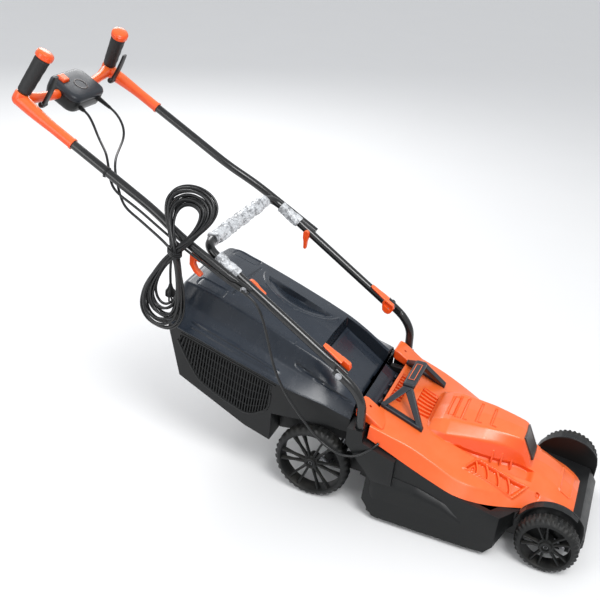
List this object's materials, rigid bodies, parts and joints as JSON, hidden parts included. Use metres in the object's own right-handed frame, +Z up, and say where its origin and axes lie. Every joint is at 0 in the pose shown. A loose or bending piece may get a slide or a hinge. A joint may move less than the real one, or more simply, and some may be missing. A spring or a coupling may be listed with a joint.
{
  "type": "push lawn mower",
  "caption": "Corded rotary push mower with folding tube handle, upright grips, rear grass box, cranked axles for cutting height and a carry handle.",
  "frame": {"origin": "centre of the footprint at ground level, under the whole machine with its handle up", "axes": "+Z up, -Y towards the front of the machine, +X to the operator's left"},
  "size_m": [0.5075, 1.5384, 0.9889],
  "materials": {
    "orange": "satin moulded plastic",
    "black_plastic": "satin moulded plastic",
    "lid_plastic": "smooth dark moulded plastic",
    "wheel_plastic": "matt moulded plastic with a ribbed tread",
    "tube_paint": "satin powder coat",
    "grip_rubber": "soft matt rubber",
    "steel": "zinc plated",
    "cord_sheath": "smooth flexible sheath",
    "wrap_film": "loose bubble film"
  },
  "bodies": {
    "deck": {"deck_shell": "black_plastic", "motor_cover": "orange", "carry_handle": "black_plastic", "front_axle_clamp": "black_plastic", "rear_axle_clamp": "black_plastic", "motor_can": "steel", "stub_tube_left": "tube_paint", "stub_tube_right": "tube_paint", "motor_cable_lower": "cord_sheath"},
    "blade_set": {"rotor_shaft": "steel", "blade_carrier": "black_plastic", "blade": "steel", "blade_bolt": "steel"},
    "rear_axle": {"rear_axle_rod": "steel", "height_lever": "steel", "height_knob": "black_plastic"},
    "front_axle": {"front_axle_rod": "steel"},
    "link": {"link_rod": "steel"},
    "rear_guard": {"rear_guard": "lid_plastic"},
    "grass_box": {"box_lid": "lid_plastic", "box_lower": "black_plastic", "mesh_panel_left": "black_plastic", "mesh_panel_right": "black_plastic"},
    "lower_frame": {"lower_frame": "tube_paint", "bar_wrap": "wrap_film", "leg_wrap_left": "wrap_film", "leg_wrap_right": "wrap_film", "lower_bolt_left": "steel", "lower_bolt_right": "steel", "upper_bolt_left": "steel", "upper_bolt_right": "steel"},
    "upper_handle": {"upper_tube_left": "tube_paint", "upper_tube_right": "tube_paint", "grip_arm_left": "orange", "grip_arm_right": "orange", "grip_left": "grip_rubber", "grip_right": "grip_rubber", "grip_cap_left": "orange", "grip_cap_right": "orange", "switch_box_lower": "black_plastic", "switch_box_upper": "lid_plastic", "mains_gland": "black_plastic", "motor_gland": "black_plastic", "cord_hook": "orange", "upper_tie": "black_plastic", "mains_lead": "cord_sheath", "mains_hank": "cord_sheath", "mains_plug": "black_plastic", "motor_cable_upper": "cord_sheath"},
    "lock_button": {"lock_button": "orange"},
    "front_wheel_left": {"front_wheel_left": "wheel_plastic"},
    "rear_wheel_left": {"rear_wheel_left": "wheel_plastic"},
    "lower_lever_left": {"lower_lever_left": "orange"},
    "upper_lever_left": {"upper_lever_left": "orange"},
    "trigger_left": {"trigger_left": "black_plastic"},
    "front_wheel_right": {"front_wheel_right": "wheel_plastic"},
    "rear_wheel_right": {"rear_wheel_right": "wheel_plastic"},
    "lower_lever_right": {"lower_lever_right": "orange"},
    "upper_lever_right": {"upper_lever_right": "orange"},
    "trigger_right": {"trigger_right": "black_plastic"}
  },
  "joints": [
    {"name": "height_adjust", "type": "hinge", "parent": "deck", "child": "rear_axle", "pos_m": [0, -0.13467, 0.07303], "axis": [-1, 0, 0], "range_deg": [0, 67.4]},
    {"name": "front_axle_turn", "type": "hinge", "parent": "deck", "child": "front_axle", "pos_m": [0, -0.72467, 0.05003], "axis": [-1, 0, 0], "range_deg": [0, 67.4]},
    {"name": "link_turn", "type": "hinge", "parent": "front_axle", "child": "link", "pos_m": [0.105, -0.73798, 0.07], "axis": [-1, 0, 0], "range_deg": [-67.4, 0]},
    {"name": "blade_spin", "type": "hinge", "parent": "deck", "child": "blade_set", "pos_m": [0, -0.42523, 0.04], "axis": [0, 0, 1], "continuous": true},
    {"name": "guard_lift", "type": "hinge", "parent": "deck", "child": "rear_guard", "pos_m": [0, -0.21323, 0.227], "axis": [1, 0, 0], "range_deg": [0, 75], "stiffness_Nm_per_rad": 0.5, "springref_deg": -34.38},
    {"name": "box_lift_off", "type": "slide", "parent": "deck", "child": "grass_box", "axis": [0, 0.891, 0.454], "range_m": [0, 0.55]},
    {"name": "frame_fold", "type": "hinge", "parent": "deck", "child": "lower_frame", "pos_m": [0, -0.14523, 0.375], "axis": [-1, 0, 0], "range_deg": [-140, 0]},
    {"name": "handle_fold", "type": "hinge", "parent": "lower_frame", "child": "upper_handle", "pos_m": [0, 0.10777, 0.533], "axis": [1, 0, 0], "range_deg": [0, 120]},
    {"name": "lock_press", "type": "slide", "parent": "upper_handle", "child": "lock_button", "axis": [0, 0.4664, -0.8846], "range_m": [0, 0.004], "stiffness_N_per_m": 400, "springref_m": -0.003},
    {"name": "front_wheel_left_spin", "type": "hinge", "parent": "front_axle", "child": "front_wheel_left", "pos_m": [0.1885, -0.68723, 0.075], "axis": [1, 0, 0], "continuous": true},
    {"name": "rear_wheel_left_spin", "type": "hinge", "parent": "rear_axle", "child": "rear_wheel_left", "pos_m": [0.1885, -0.09723, 0.098], "axis": [1, 0, 0], "continuous": true},
    {"name": "lower_lever_left_flip", "type": "hinge", "parent": "lower_frame", "child": "lower_lever_left", "pos_m": [0.172, -0.14523, 0.375], "axis": [1, 0, 0], "range_deg": [0, 100]},
    {"name": "upper_lever_left_flip", "type": "hinge", "parent": "lower_frame", "child": "upper_lever_left", "pos_m": [0.16885, 0.10777, 0.542], "axis": [0, 1, 0], "range_deg": [0, 100]},
    {"name": "trigger_left_squeeze", "type": "hinge", "parent": "upper_handle", "child": "trigger_left", "pos_m": [0.151, 0.70654, 0.85321], "axis": [-1, 0, 0], "range_deg": [0, 12], "stiffness_Nm_per_rad": 0.8, "springref_deg": -14.32},
    {"name": "front_wheel_right_spin", "type": "hinge", "parent": "front_axle", "child": "front_wheel_right", "pos_m": [-0.1885, -0.68723, 0.075], "axis": [1, 0, 0], "continuous": true},
    {"name": "rear_wheel_right_spin", "type": "hinge", "parent": "rear_axle", "child": "rear_wheel_right", "pos_m": [-0.1885, -0.09723, 0.098], "axis": [1, 0, 0], "continuous": true},
    {"name": "lower_lever_right_flip", "type": "hinge", "parent": "lower_frame", "child": "lower_lever_right", "pos_m": [-0.172, -0.14523, 0.375], "axis": [1, 0, 0], "range_deg": [0, 100]},
    {"name": "upper_lever_right_flip", "type": "hinge", "parent": "lower_frame", "child": "upper_lever_right", "pos_m": [-0.16885, 0.1154, 0.53777], "axis": [0, -0.5299, 0.848], "range_deg": [0, 100]},
    {"name": "trigger_right_squeeze", "type": "hinge", "parent": "upper_handle", "child": "trigger_right", "pos_m": [-0.151, 0.70654, 0.85321], "axis": [-1, 0, 0], "range_deg": [0, 12], "stiffness_Nm_per_rad": 0.8, "springref_deg": -14.32}
  ],
  "couplings": [
    {"joint": "front_axle_turn", "follows": "height_adjust", "ratio": 1},
    {"joint": "link_turn", "follows": "height_adjust", "ratio": -1}
  ]
}
